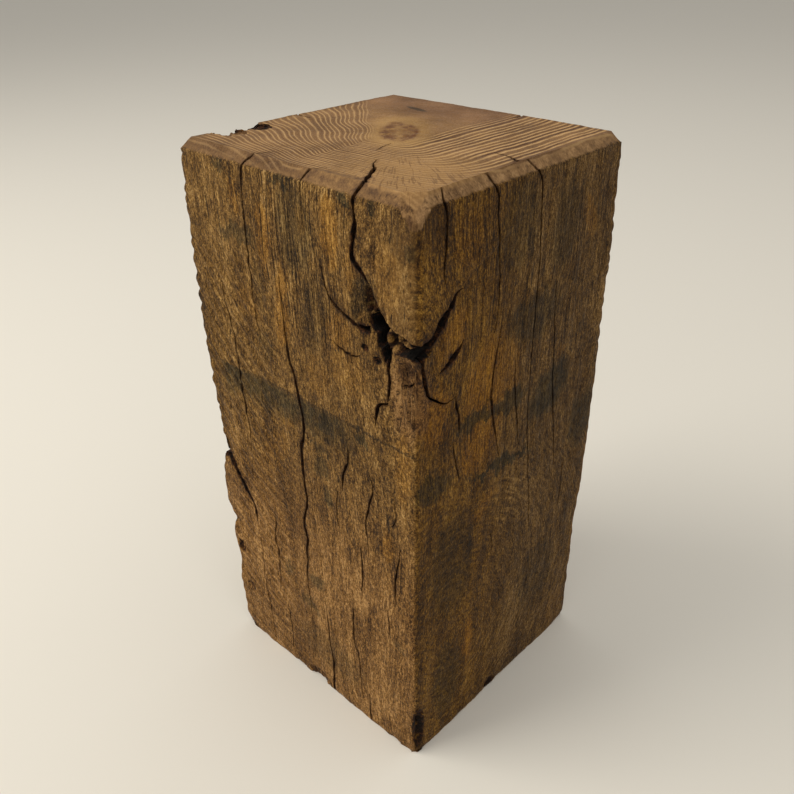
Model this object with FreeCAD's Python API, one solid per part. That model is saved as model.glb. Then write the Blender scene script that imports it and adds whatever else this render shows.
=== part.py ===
import FreeCAD, Part

import math
import os

# A short length of reclaimed square-sawn timber, standing on one sawn end. It is one piece of wood.
# Frame: +Z up along the grain, origin at the centre of the base, front face at -Y, right face at +X.
# All sizes are in millimetres.

# Overall sizes
SECTION_X = 142.0
SECTION_Y = 138.0
HEIGHT = 295.0

# Edges
TOP_BEVEL = 5.0         # hand-cut bevel round the top end, both ways
FOOT_WEAR = 1.0         # rubbed edge round the base
ARRIS_RADIUS = 1.6      # the four long edges, worn round
CORNER_FACET_RUN = 12.0     # how far the deeper facet at the front right corner runs along each face
CORNER_FACET_DROP = 6.0     # how far it drops below the bevel on the arris itself

# Knot at the front right arris, measured from that arris and down from the top
KNOT_ACROSS = 18.0
KNOT_DROP = 56.0
KNOT_WIDTH = 15.0
KNOT_HEIGHT = 17.0
KNOT_DEPTH = 13.0
KNOT_ARRIS_GAP = 10.0   # height of the gap under the tongue of wood where it reaches the arris
KNOT_ARRIS_DEPTH = 5.4  # how far the gap bites into the arris

# Drying checks: (face, side the "across" distance starts from, end the "along" distance starts from,
# width at the surface, depth, whether the first and last points are open ends, points along it).
CHECKS = [
    # the main split: down from the top edge into the knot
    ("front", "right", "top", 2.2, 30.0, (True, True),
     [(28, -1), (30, 6), (31, 15), (32, 25), (29, 31), (25, 39), (19, 49)]),
    # round the tongue above the knot, out to the arris
    ("front", "right", "top", 2.6, 12.0, (True, True), [(21, 47), (15, 51), (8, 54), (-1, 55)]),
    ("right", "left", "top", 3.2, 12.0, (True, False), [(-1, 55), (8, 57), (13, 52), (19, 45), (27, 39)]),
    # the lips and splits round the knot
    ("front", "right", "top", 1.3, 7.0, (False, True), [(51, 39), (47, 46), (38, 52), (30, 56), (22, 60)]),
    ("front", "right", "top", 0.9, 5.0, (False, False), [(45, 69), (39, 70.5), (31, 70)]),
    ("front", "right", "top", 1.7, 9.0, (True, False), [(12, 61), (12.5, 70), (14, 79), (15, 87)]),
    ("front", "right", "top", 1.3, 6.0, (False, False), [(15, 87), (19, 90), (22, 98)]),
    ("right", "left", "top", 1.7, 7.0, (False, False), [(14, 71), (20, 70), (25, 66), (29, 61)]),
    ("right", "left", "top", 1.5, 8.0, (True, False), [(3, 60), (6, 74), (10, 83), (17, 88), (25, 88)]),
    # front face, from the top
    ("front", "left", "top", 0.9, 16.0, (True, False), [(47, -1), (43.5, 12), (43.5, 50), (45, 68), (47, 86)]),
    ("front", "left", "top", 1.0, 12.0, (False, False), [(22, 64), (26, 88), (27, 115), (28, 140), (29, 168)]),
    ("front", "left", "top", 1.7, 24.0, (False, False),
     [(65, 75), (70, 103), (71.5, 125), (69, 140), (69.5, 160), (67, 184), (66, 208), (65.5, 232), (67, 248)]),
    ("front", "left", "top", 1.4, 12.0, (False, False), [(102, 118), (100, 130), (97, 146)]),
    ("front", "left", "top", 0.9, 9.0, (False, False), [(117, 134), (113, 150), (113, 170)]),
    # front face, from the base
    ("front", "left", "base", 0.9, 9.0, (False, False), [(40, 55), (42, 78), (41, 92), (42, 110)]),
    ("front", "left", "base", 1.1, 18.0, (True, False), [(81, -1), (82, 18), (80, 45), (79, 84)]),
    ("front", "left", "base", 0.9, 10.0, (False, False), [(104, 16), (102, 48), (100, 70), (99, 94)]),
    ("front", "left", "base", 1.1, 10.0, (False, False), [(107, 88), (108, 105), (107, 122)]),
    ("front", "left", "base", 0.9, 8.0, (False, False), [(130, 98), (130, 118), (133, 133)]),
    ("front", "left", "base", 0.8, 10.0, (True, False), [(30, -1), (28, 25), (27, 60)]),
    # the loose slab at the left arris
    ("front", "left", "base", 2.4, 10.0, (True, False), [(1, 129), (7, 126), (14, 117), (21, 106), (26, 94)]),
    # right face
    ("right", "left", "top", 1.4, 12.0, (True, False), [(14, -1), (17, 9), (15, 32)]),
    ("right", "left", "top", 1.2, 20.0, (True, False),
     [(45, -1), (48, 22), (50.5, 50), (52, 66), (49, 94), (53, 118), (58, 134)]),
    ("right", "left", "top", 1.0, 20.0, (True, False),
     [(74, -1), (77, 20), (78, 50), (78, 90), (82, 144), (86, 170), (89, 192)]),
    ("right", "left", "top", 0.8, 9.0, (False, False), [(92, 56), (96, 86), (101, 125), (103, 148)]),
    ("right", "left", "top", 0.8, 8.0, (False, False), [(65, 82), (68, 105), (73, 134)]),
    ("right", "left", "top", 0.9, 8.0, (False, False), [(25, 88), (28, 108), (25, 112), (30, 133)]),
    # top face, "along" measured from the front edge
    ("top", "left", "base", 2.2, 30.0, (True, False), [(115, -1), (109, 8), (104, 17), (97, 26)]),
    ("top", "right", "base", 1.6, 12.0, (True, False), [(-1, 73), (5, 70), (15, 68)]),
    # back and left faces
    ("back", "left", "top", 1.3, 18.0, (True, False), [(52, -1), (54, 40), (51, 90), (55, 150)]),
    ("back", "left", "base", 1.1, 12.0, (True, False), [(92, -1), (90, 50), (94, 120)]),
    ("back", "right", "top", 0.9, 10.0, (False, False), [(24, 60), (26, 110), (23, 170)]),
    ("left", "left", "top", 1.4, 18.0, (True, False), [(72, -1), (70, 60), (75, 130), (72, 190)]),
    ("left", "right", "base", 1.0, 12.0, (True, False), [(36, -1), (39, 60), (35, 110)]),
]
END_WIDTH_SHARE = 0.18  # a check closes to this share of its width and depth at a shut end
PROUD = 1.0             # how far a cutter stands out of the face that it cuts

# Scallops and losses on the long edges: (arris, height of the middle, length, depth into the edge)
ARRIS_LOSSES = [
    ("front_left", 140.0, 24.0, 4.0),
    ("front_left", 83.0, 14.0, 3.2),
    ("front_left", 52.0, 16.0, 2.6),
    ("front_left", 5.0, 22.0, 4.0),
    ("front_right", 19.0, 34.0, 4.2),
    ("back_right", 86.0, 22.0, 4.0),
    ("back_right", 135.0, 26.0, 2.0),
    ("back_right", 232.0, 30.0, 1.8),
    ("back_left", 196.0, 40.0, 3.0),
    ("back_left", 60.0, 30.0, 2.4),
]

# Small hewing nicks down the upper part of the front left arris
NICK_TOP_DROP = 22.0    # the highest nick, below the top
NICK_COUNT = 14
NICK_PITCH = 9.0
NICK_LENGTH = 7.5
NICK_DEPTHS = (1.3, 0.8, 1.7, 1.0)  # taken in turn, going down

# Lumps broken out of the top edge of the left face: (distance back from the front, radius, bite)
TOP_EDGE_CHIPS = [(7.0, 6.0, 4.0), (21.0, 9.0, 8.0), (36.0, 9.0, 9.0)]


def on_face(face, across, along, depth):
    """A point at a depth under a face: across from its left arris as seen from outside, along from its base."""
    half_x = SECTION_X / 2
    half_y = SECTION_Y / 2
    places = {
        "front": (across - half_x, depth - half_y, along),
        "right": (half_x - depth, across - half_y, along),
        "back": (half_x - across, half_y - depth, along),
        "left": (depth - half_x, half_y - across, along),
        "top": (across - half_x, along - half_y, HEIGHT - depth),
    }
    return FreeCAD.Vector(*places[face])


def face_size(face):
    """Width and length of a face."""
    width = SECTION_Y if face in ("right", "left") else SECTION_X
    length = SECTION_Y if face == "top" else HEIGHT
    return width, length


def rounded_section(inset, height):
    """The block's outline at a height, set in all round, with its worn corners."""
    half_x = SECTION_X / 2 - inset
    half_y = SECTION_Y / 2 - inset
    radius = ARRIS_RADIUS
    edges = []
    for turn, (cx, cy) in enumerate([(1, 1), (-1, 1), (-1, -1), (1, -1)]):
        centre = FreeCAD.Vector(cx * (half_x - radius), cy * (half_y - radius), height)
        ends = []
        for step in (0, 0.5, 1):
            angle = math.radians(90 * (turn + step))
            ends.append(centre + FreeCAD.Vector(math.cos(angle), math.sin(angle), 0) * radius)
        edges.append(Part.Arc(*ends).toShape())
    sides = []
    for here, after in zip(edges, edges[1:] + edges[:1]):
        sides.append(here)
        sides.append(Part.LineSegment(here.Vertexes[-1].Point, after.Vertexes[0].Point).toShape())
    return Part.Wire(sides)


def sawn_block():
    """The whole block with its worn long edges, the bevel round its top and its rubbed foot."""
    levels = [
        rounded_section(FOOT_WEAR, 0),
        rounded_section(0, FOOT_WEAR),
        rounded_section(0, HEIGHT - TOP_BEVEL),
        rounded_section(TOP_BEVEL, HEIGHT),
    ]
    return Part.makeLoft(levels, True, True)


def solid_from_triangles(triangles):
    """A closed solid from its triangles."""
    faces = [Part.Face(Part.makePolygon([a, b, c, a])) for a, b, c in triangles]
    solid = Part.Solid(Part.Shell(faces))
    if solid.Volume < 0:
        solid.reverse()
    return solid


def check_cutter(face, side, end, width, depth, open_ends, points):
    """The wedge of air in a drying check: a V that follows the check's route and closes at its shut ends."""
    face_width, face_length = face_size(face)
    route = []
    for across, along in points:
        u = across if side == "left" else face_width - across
        v = along if end == "base" else face_length - along
        route.append((u, v))
    last = len(route) - 1
    rings = []
    for i, (u, v) in enumerate(route):
        before = route[max(i - 1, 0)]
        after = route[min(i + 1, last)]
        run = math.hypot(after[0] - before[0], after[1] - before[1])
        normal = ((after[1] - before[1]) / run, (before[0] - after[0]) / run)
        shut = (i == 0 and not open_ends[0]) or (i == last and not open_ends[1])
        share = END_WIDTH_SHARE if shut else 1.0
        half = width / 2 * share
        reach = depth * share
        proud_half = half * (reach + PROUD) / reach
        left = on_face(face, u - normal[0] * proud_half, v - normal[1] * proud_half, -PROUD)
        right = on_face(face, u + normal[0] * proud_half, v + normal[1] * proud_half, -PROUD)
        rings.append((left, right, on_face(face, u, v, reach)))
    triangles = [rings[0], tuple(reversed(rings[-1]))]
    for here, after in zip(rings, rings[1:]):
        for j in range(3):
            k = (j + 1) % 3
            triangles.append((here[j], after[j], here[k]))
            triangles.append((here[k], after[j], after[k]))
    return solid_from_triangles(triangles)


def arris_direction(arris):
    """Signs of X and Y at a long edge."""
    return {
        "front_left": (-1, -1),
        "front_right": (1, -1),
        "back_left": (-1, 1),
        "back_right": (1, 1),
    }[arris]


def arris_cutter(arris, middle, length, depth):
    """A drum laid across a long edge, so that it leaves a shallow scallop of that length and depth."""
    sign_x, sign_y = arris_direction(arris)
    radius = (length * length / 4 + depth * depth) / (2 * depth)
    worn = ARRIS_RADIUS * (math.sqrt(2) - 1)
    outward = FreeCAD.Vector(sign_x, sign_y, 0).normalize()
    edge = FreeCAD.Vector(sign_x * SECTION_X / 2, sign_y * SECTION_Y / 2, middle) - outward * worn
    along_drum = FreeCAD.Vector(-sign_y, sign_x, 0).normalize()
    drum_length = 8 * depth
    centre = edge + outward * (radius - depth) - along_drum * (drum_length / 2)
    return Part.makeCylinder(radius, drum_length, centre, along_drum)


def nick_cutters():
    """The row of small nicks down the front left arris."""
    cutters = []
    for i in range(NICK_COUNT):
        middle = HEIGHT - NICK_TOP_DROP - i * NICK_PITCH
        cutters.append(arris_cutter("front_left", middle, NICK_LENGTH, NICK_DEPTHS[i % len(NICK_DEPTHS)]))
    return cutters


def corner_facet_cutter():
    """The wedge that the deeper facet takes off the front right corner of the top."""
    run = CORNER_FACET_RUN
    on_front = on_face("front", SECTION_X - run, HEIGHT - TOP_BEVEL, 0)
    on_right = on_face("right", run, HEIGHT - TOP_BEVEL, 0)
    on_arris = on_face("front", SECTION_X, HEIGHT - TOP_BEVEL - CORNER_FACET_DROP, 0)
    normal = (on_arris - on_front).cross(on_right - on_front).normalize()
    middle = (on_front + on_right + on_arris) / 3
    corners = [middle + (p - middle) * 6 for p in (on_front, on_right, on_arris)]
    triangle = Part.Face(Part.makePolygon(corners + corners[:1]))
    return triangle.extrude(normal * 4 * run)


def knot_cutters():
    """The rotted-out pocket of the knot, and the gap that it opens at the arris under the tongue."""
    centre_v = HEIGHT - KNOT_DROP
    centre_u = SECTION_X - KNOT_ACROSS
    outline = [(-0.5, 0.2), (-0.25, 0.48), (0.1, 0.5), (0.42, 0.2), (0.5, -0.15), (0.2, -0.5), (-0.2, -0.42)]
    rings = []
    for share, depth in ((1.0, -PROUD), (0.95, KNOT_DEPTH * 0.35), (0.45, KNOT_DEPTH)):
        ring = []
        for across, up in outline:
            u = centre_u + across * KNOT_WIDTH * share
            v = centre_v + up * KNOT_HEIGHT * share
            ring.append(on_face("front", u, v, depth))
        rings.append(Part.makePolygon(ring + ring[:1]))
    pocket = Part.makeLoft(rings, True, True)
    gap = arris_cutter("front_right", centre_v - 1.0, KNOT_ARRIS_GAP, KNOT_ARRIS_DEPTH)
    return [pocket, gap]


def chip_cutters():
    """Rounded lumps missing from the top edge of the left face."""
    cutters = []
    for back, radius, bite in TOP_EDGE_CHIPS:
        edge = on_face("left", SECTION_Y - back, HEIGHT, 0)
        inward = FreeCAD.Vector(1, 0, -1).normalize()
        cutters.append(Part.makeSphere(radius, edge + inward * (bite - radius)))
    return cutters


def timber_block():
    """The block with everything that wear, drying and the knot have taken out of it."""
    cutters = [corner_facet_cutter()]
    cutters += knot_cutters()
    cutters += chip_cutters()
    cutters += nick_cutters()
    cutters += [arris_cutter(*loss) for loss in ARRIS_LOSSES]
    cutters += [check_cutter(*check) for check in CHECKS]
    block = sawn_block()
    for cutter in cutters:
        block = block.cut(cutter)
    solids = sorted(block.Solids, key=lambda s: s.Volume)
    return solids[-1]


os.makedirs("parts", exist_ok=True)
block = timber_block()
print("timber_block valid", block.isValid(), "volume cm3", round(block.Volume / 1000, 1))
block.exportStep("parts/timber_block.step")
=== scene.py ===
import math

import bpy
import numpy as np
from mathutils import Matrix, Vector


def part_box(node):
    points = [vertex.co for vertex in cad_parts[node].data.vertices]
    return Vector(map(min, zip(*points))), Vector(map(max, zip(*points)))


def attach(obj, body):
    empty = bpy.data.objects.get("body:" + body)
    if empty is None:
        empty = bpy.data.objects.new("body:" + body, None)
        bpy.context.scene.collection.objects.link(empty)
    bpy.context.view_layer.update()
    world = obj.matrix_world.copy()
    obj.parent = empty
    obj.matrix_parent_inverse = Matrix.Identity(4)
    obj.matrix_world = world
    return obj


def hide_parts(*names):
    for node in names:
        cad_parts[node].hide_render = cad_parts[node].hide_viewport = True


# A short length of reclaimed square-sawn timber standing on its sawn end.
# The shape is worked in millimetres and turned to metres when the mesh is made.
# A place on the four sides is (s, v): s runs round the block from the front left arris, along the
# front, right, back and left faces, and v runs up from the base. A place on the top is (u, w), from
# the front left corner.

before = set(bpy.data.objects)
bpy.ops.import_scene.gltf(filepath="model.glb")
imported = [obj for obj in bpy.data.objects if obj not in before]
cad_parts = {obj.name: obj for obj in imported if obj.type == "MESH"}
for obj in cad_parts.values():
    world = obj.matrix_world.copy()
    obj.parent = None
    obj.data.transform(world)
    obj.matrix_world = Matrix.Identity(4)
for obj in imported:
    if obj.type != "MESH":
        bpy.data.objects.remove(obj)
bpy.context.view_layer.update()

NODE = "timber_block"
MM = 0.001
LOW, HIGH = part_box(NODE)
WIDE, DEEP, TALL = [(HIGH[i] - LOW[i]) / MM for i in range(3)]
ROUND = 2 * (WIDE + DEEP)       # once round the sides
RIGHT = WIDE                    # s where the right face starts
BACK = WIDE + DEEP
LEFT = 2 * WIDE + DEEP

# Mesh
ACROSS_STEP = 0.5
BEVEL = 5.0                     # how far the bevel round the top reaches down
BEVEL_IN = 4.0                  # and in
BEVEL_ROWS = 7
ROW_BANDS = [(0.0, 1.5), (196.0, 0.6), (262.0, 1.0)]    # (from this height, row spacing)
MOST_TRIANGLES = 190_000
SHARP_ANGLE = 38                # degrees between two faces that meet in a sharp edge
SEED = 11
PROUD = 0.6                     # how far worn wood may stand out past the nominal faces


# ---------------------------------------------------------------- noise

def make_gradients(seed):
    """A shuffled table and unit vectors for gradient noise."""
    rng = np.random.default_rng(seed)
    table = rng.permutation(256)
    vectors = rng.normal(size=(256, 3))
    vectors /= np.linalg.norm(vectors, axis=1, keepdims=True)
    return np.concatenate([table, table, table]), vectors


GRADIENTS = {}


def noise(points, seed=SEED):
    """Gradient noise of (n, 3) points, about -1 to 1, with features one unit long."""
    if seed not in GRADIENTS:
        GRADIENTS[seed] = make_gradients(seed)
    table, vectors = GRADIENTS[seed]
    cell = np.floor(points).astype(int)
    inside = points - cell
    cell &= 255
    fade = inside ** 3 * (inside * (inside * 6 - 15) + 10)
    total = np.zeros(len(points))
    for corner in range(8):
        step = np.array([corner & 1, corner >> 1 & 1, corner >> 2])
        weight = np.prod(np.where(step, fade, 1 - fade), axis=1)
        i, j, k = (cell + step).T
        gradient = vectors[table[table[table[i & 255] + (j & 255)] + (k & 255)]]
        total += weight * np.einsum("ij,ij->i", gradient, inside - step)
    return total * 1.6


def smooth(low, high, values):
    """0 below low, 1 above high, and a smooth step between them."""
    t = np.clip((values - low) / (high - low), 0, 1)
    return t * t * (3 - 2 * t)


# ---------------------------------------------------------------- drying checks

def curve_through(points, spacing=1.5):
    """Points along a smooth curve through the given ones."""
    points = np.array(points, float)
    ends = np.vstack([2 * points[0] - points[1], points, 2 * points[-1] - points[-2]])
    out = []
    for a, b, c, d in zip(ends, ends[1:], ends[2:], ends[3:]):
        count = max(2, int(np.linalg.norm(c - b) / spacing))
        t = np.linspace(0, 1, count, endpoint=False)[:, None]
        out.append(0.5 * (2 * b + (c - a) * t + (2 * a - 5 * b + 4 * c - d) * t ** 2
                          + (3 * b - a - 3 * c + d) * t ** 3))
    return np.vstack(out + [points[-1:]])


NARROWEST = 0.28                # least half width that the mesh can show


def check(width, depth, points, open_ends=(False, False), ragged=0.45, shift=0.0):
    """A check: its line, and its width and depth along it. Widths go from the first to the last point."""
    line = curve_through([(a + shift, b) for a, b in points])
    run = np.concatenate([[0], np.cumsum(np.linalg.norm(np.diff(line, axis=0), axis=1))])
    t = run / run[-1]
    widths = np.atleast_1d(width)
    wide = np.interp(t, np.linspace(0, 1, len(widths)), widths)
    shut = np.ones(len(t))
    if not open_ends[0]:
        shut *= np.clip(t / 0.22, 0, 1) ** 0.7
    if not open_ends[1]:
        shut *= np.clip((1 - t) / 0.22, 0, 1) ** 0.7
    place = np.column_stack([line * (0.21, 0.13), np.full(len(line), widths[0] * 7.3)])
    wander = noise(place) * ragged + noise(place * 3.1) * ragged * 0.9
    wide = wide * (1 + 0.55 * noise(place * 2.3, 31))
    across = np.gradient(line, axis=0)
    across = np.column_stack([across[:, 1], -across[:, 0]])
    across /= np.linalg.norm(across, axis=1, keepdims=True)
    line = line + across * wander[:, None]
    return {"line": line, "half": np.maximum(wide * shut / 2, 0.02), "depth": depth * shut}


def carve(places, steps, checks):
    """Moves grid points on to the middle and lips of each check.
    Returns how deep each lies, and how much painted shade the check puts there, 0 to 1: near black inside
    it and a faint painted-shade halo just past its lips."""
    deep = np.zeros(len(places))
    dark = np.zeros(len(places))
    for one in checks:
        line, half, depth = one["line"], one["half"], one["depth"]
        margin = half.max() + 2.5
        low, high = line.min(0) - margin, line.max(0) + margin
        near = np.nonzero(np.all((places > low) & (places < high), axis=1))[0]
        if not len(near):
            continue
        starts, along = line[:-1], np.diff(line, axis=0)
        best = np.full(len(near), np.inf)
        best_t = np.zeros(len(near))
        best_off = np.zeros((len(near), 2))
        for k in range(len(starts)):
            local = places[near] - starts[k]
            t = np.clip(local @ along[k] / (along[k] @ along[k]), 0, 1)
            off = local - t[:, None] * along[k]
            dist = np.hypot(off[:, 0], off[:, 1])
            closer = dist < best
            best[closer] = dist[closer]
            best_t[closer] = k + t[closer]
            best_off[closer] = off[closer]
        index = np.arange(len(half))
        reach = np.interp(best_t, index, half)
        full = np.interp(best_t, index, depth)
        inner = (best_t > 1e-6) & (best_t < len(half) - 1 - 1e-6)
        normal = best_off / np.maximum(best, 1e-9)[:, None]
        step = np.abs(normal[:, 0]) * steps[near, 0] + np.abs(normal[:, 1]) * steps[near, 1]
        target = best.copy()
        middle = best < 0.5 * step
        lip_at = np.maximum(reach, NARROWEST)
        lip = ~middle & (np.abs(best - np.maximum(reach, step)) < 0.5 * step)
        target[middle] = 0.0
        target[lip] = lip_at[lip]
        moved = inner & (middle | lip)
        shift = normal * (target - best)[:, None]
        places[near[moved]] += shift[moved]
        dist = np.where(moved, target, best)
        valley = np.clip(1 - dist / lip_at, 0, 1) ** 0.75
        deep[near] = np.maximum(deep[near], np.where(inner, full * valley, 0))
        # painted shade: the check is filled darker towards its middle, with a faint halo just past its lips
        beside = 0.28 * np.exp(-((dist - lip_at) / 0.6) ** 2)
        lip_shade = np.interp(reach, [0.3, 1.4], [0.26, 0.58])
        within = lip_shade + (1 - lip_shade) * np.clip(2.2 * (1 - dist / lip_at), 0, 1)
        shade = np.where(dist < lip_at * 1.05, within, beside * lip_shade) * np.clip(reach / 0.25, 0.5, 1)
        dark[near] = np.maximum(dark[near], np.where(inner, shade, 0))
    return deep, dark


# ends of a check that stay wide, at an edge or another check
FIRST_OPEN = (True, False)
LAST_OPEN = (False, True)
BOTH_OPEN = (True, True)

FACE_CHECKS = {
    0.0: [
        # the main split, down from the top edge into the knot, and round the tongue of wood
        ((1.5, 1.3, 2.4, 1.9, 1.2, 1.1, 1.0), 13, [(117, 297), (113.4, 292.6), (111, 289), (111.5, 280),
         (109.6, 270), (110.2, 266.3), (113.5, 263.2), (116.5, 260), (119.3, 255.6), (122.2, 250),
         (125.1, 245.5), (129.5, 242.7), (134.7, 241.3), (139.1, 240), (143.5, 239.2), (147, 238.2)],
         BOTH_OPEN, 0.3),
        ((2.4, 4.0, 4.4, 3.2, 1.6), 12, [(143, 238), (148.3, 238), (151.6, 239.2), (154.8, 242.2),
         (158, 245.8), (162.1, 249.8), (165.3, 254), (168.7, 255)], FIRST_OPEN, 0.2),
        # the lip to the left of the main split
        ((0.6, 1.2, 1.5, 2.2), 6, [(91, 259), (92.6, 252), (95.5, 245.8), (100.3, 242.7), (106, 240.7),
         (110.7, 238.5), (117, 238.6)], LAST_OPEN, 0.3),
        ((0.8, 1.2, 0.8), 4, [(95.7, 226.5), (101.6, 224.6), (106.7, 224), (111.7, 225.2)]),
        # down from the knot
        ((1.9, 1.6, 1.4, 1.2), 8, [(128.5, 234), (127.6, 224.2), (127.9, 217.8), (126.5, 208.5)],
         FIRST_OPEN),
        ((1.1, 1.6, 1.0), 6, [(126.6, 208.6), (122.4, 207), (120.6, 202.2), (119.3, 196)], FIRST_OPEN),
        ((2.0, 1.9, 1.6, 1.0, 0.7, 0.6), 7, [(145.2, 233), (146.9, 222.5), (149.5, 215.6), (152.1, 212.5),
         (159.2, 207.7), (164.6, 207), (167, 207.4)], FIRST_OPEN),
        ((0.8, 2.8, 2.6, 1.2), 6, [(155, 222), (161.3, 224.9), (166.4, 228), (170.3, 232.5)]),
        ((1.0, 1.5, 0.9), 6, [(166.8, 208), (167.5, 202.2), (169.2, 195.9), (169.6, 187)]),
        ((0.7, 0.9, 0.7), 5, [(165.6, 185), (167.6, 175), (171, 163)]),
        ((0.9, 0.9), 2.5, [(133.7, 219.4), (137, 220.2), (141.2, 222.7)]),
        # the front face
        ((0.9, 1.5, 1.6, 1.4, 1.0), 9, [(63, 248), (65, 210), (68, 201), (70, 189), (71.6, 177),
         (70.6, 167), (68.6, 161), (68.4, 141), (69.6, 131), (67, 121), (65.6, 113), (67.2, 104),
         (66, 97), (66.4, 89), (65, 81), (64.6, 71), (65.6, 61), (65.4, 52), (66, 45)]),
        ((1.0, 0.8, 0.6), 8, [(49, 297), (47.4, 294), (44.6, 290), (43, 275), (43, 251), (43.4, 237),
         (44, 223), (46, 213), (47.4, 208)], FIRST_OPEN),
        ((0.5, 0.9, 1.1, 0.7), 4, [(20, 235), (21, 221), (24, 211), (26, 195), (26, 181), (26.6, 171),
         (27.4, 161), (28, 149), (27, 140)]),
        ((3.0, 3.6, 3.0, 2.0), 8, [(-6, 128.5), (1, 128), (8, 126), (14, 118), (19, 111), (24, 103),
         (25.6, 92)], FIRST_OPEN),
        ((0.4, 0.5, 0.5), 3, [(25.4, 93), (26, 71), (25.6, 51), (26.4, 37), (28, 21), (28.6, 6)]),
        ((0.6, 1.0, 0.6), 4, [(42.4, 108), (42, 99), (40.4, 91), (41.6, 79), (41, 65), (40, 54)]),
        ((0.4, 0.5), 3, [(45, 42), (45.8, 26), (45.6, 8)]),
        ((0.8, 1.3, 0.9), 7, [(101.4, 178), (101.4, 168), (98, 161), (96.2, 150)]),
        ((0.5, 0.8), 5, [(92.8, 147), (91.6, 138), (92, 126)]),
        ((0.8, 1.0, 0.8), 6, [(114, 170), (116.6, 161), (114, 151), (111.6, 138), (113, 120)]),
        ((0.5, 1.1, 0.8), 6, [(133, 136), (130.4, 121), (129.2, 109), (130, 100)]),
        ((0.6, 1.2, 0.7), 6, [(107.2, 124), (107.6, 109), (106.6, 88)]),
        ((0.6, 1.0, 0.9, 0.6), 6, [(100, 91), (99.2, 71), (99.2, 53), (102, 47), (102.6, 35),
         (103.4, 16)]),
        ((0.7, 1.0, 1.4, 1.6), 8, [(78, 70), (79, 55), (79.6, 39), (81.4, 25), (80.6, 10), (80, -2)],
         LAST_OPEN),
        ((0.5, 0.6), 4, [(124.4, 93), (125.2, 74)]),
        ((0.6, 0.9), 5, [(109, 22), (109.4, -2)], LAST_OPEN),
        ((0.7, 0.5), 3, [(86, 297), (82, 292), (81, 286)], FIRST_OPEN),
        ((0.5, 0.5), 3, [(129, 160), (131, 152), (128, 146)]),
    ],
    RIGHT: [
        ((0.8, 1.1, 0.7), 8, [(14, 297), (15, 291), (16.6, 287), (16.4, 277), (15, 265), (15.6, 260)],
         FIRST_OPEN),
        ((0.9, 0.8, 0.8, 0.7), 8, [(40, 297), (44, 291), (46.6, 286), (46.6, 279), (48.6, 265), (50, 249),
         (50.4, 239), (48.4, 228)], FIRST_OPEN),
        ((0.7, 1.3, 0.8), 7, [(53.4, 231), (51.6, 221), (49.6, 211), (49, 199), (50.4, 189), (54, 175),
         (58, 161)]),
        ((1.0, 0.8, 0.8, 0.7, 0.6), 9, [(68, 297), (72, 291), (75.6, 284), (77, 265), (78.6, 247),
         (78, 195), (79, 171), (81.4, 153), (84, 135), (86.6, 119), (88.4, 100)], FIRST_OPEN),
        ((0.5, 0.9, 0.7), 6, [(93, 240), (94, 221), (96, 207), (97, 191), (99.4, 177), (102, 161),
         (107.4, 130)]),
        ((0.5, 1.0, 0.7), 6, [(65, 211), (66.4, 193), (69, 179), (73, 160)]),
        ((0.4, 0.5), 3, [(116, 126), (116.6, 112), (116, 100)]),
        ((0.4, 0.5), 3, [(55, 118), (57, 104)]),
    ],
    BACK: [
        ((1.6, 1.2, 0.7), 9, [(52, 297), (54, 255), (51, 205), (55, 145)], FIRST_OPEN),
        ((0.6, 1.2, 1.4), 8, [(94, 120), (90, 50), (92, -2)], LAST_OPEN),
        ((0.5, 0.9, 0.6), 5, [(118, 235), (116, 185), (119, 125)]),
        ((0.5, 0.8, 0.5), 4, [(24, 110), (26, 70), (23, 30)]),
        ((0.5, 0.7, 0.5), 4, [(78, 240), (76, 214), (79, 180)]),
    ],
    LEFT: [
        ((1.5, 1.3, 0.8), 9, [(72, 297), (70, 235), (75, 165), (72, 105)], FIRST_OPEN),
        ((0.6, 1.0, 1.2), 7, [(103, 110), (99, 60), (102, -2)], LAST_OPEN),
        ((0.5, 0.9, 0.5), 5, [(34, 250), (37, 200), (33, 150)]),
        ((0.4, 0.7, 0.5), 4, [(50, 90), (48, 60), (52, 25)]),
    ],
}
SIDE_CHECKS = [check(*row, shift=start) for start, rows in FACE_CHECKS.items() for row in rows]

TOP_CHECKS = [check(*row) for row in [
    ((0.3, 0.8, 1.6, 1.7, 1.5), 9, [(93, 31), (98, 24), (102, 20), (108, 11), (113.4, 3)], LAST_OPEN),
    ((0.2, 0.8, 0.4), 3, [(101, 23), (104, 18), (107, 14)]),
    ((0.3, 0.6, 0.3), 2, [(78.6, 54), (80, 48), (82.4, 41)]),
    ((0.3, 0.7, 1.2, 1.6), 5, [(120, 69.5), (128, 68.4), (133, 67), (138, 64)], LAST_OPEN),
    ((0.3, 0.7), 2, [(52, 12), (50, 4)], LAST_OPEN),
    ((0.3, 0.5), 2, [(87, 10), (84.5, 4)], LAST_OPEN),
    ((0.4, 1.0), 4, [(88, 127), (89, 134)], LAST_OPEN),
    ((0.4, 1.0), 4, [(16, 65), (4, 66)], LAST_OPEN),
]]


# ---------------------------------------------------------------- losses on the long edges

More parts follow.
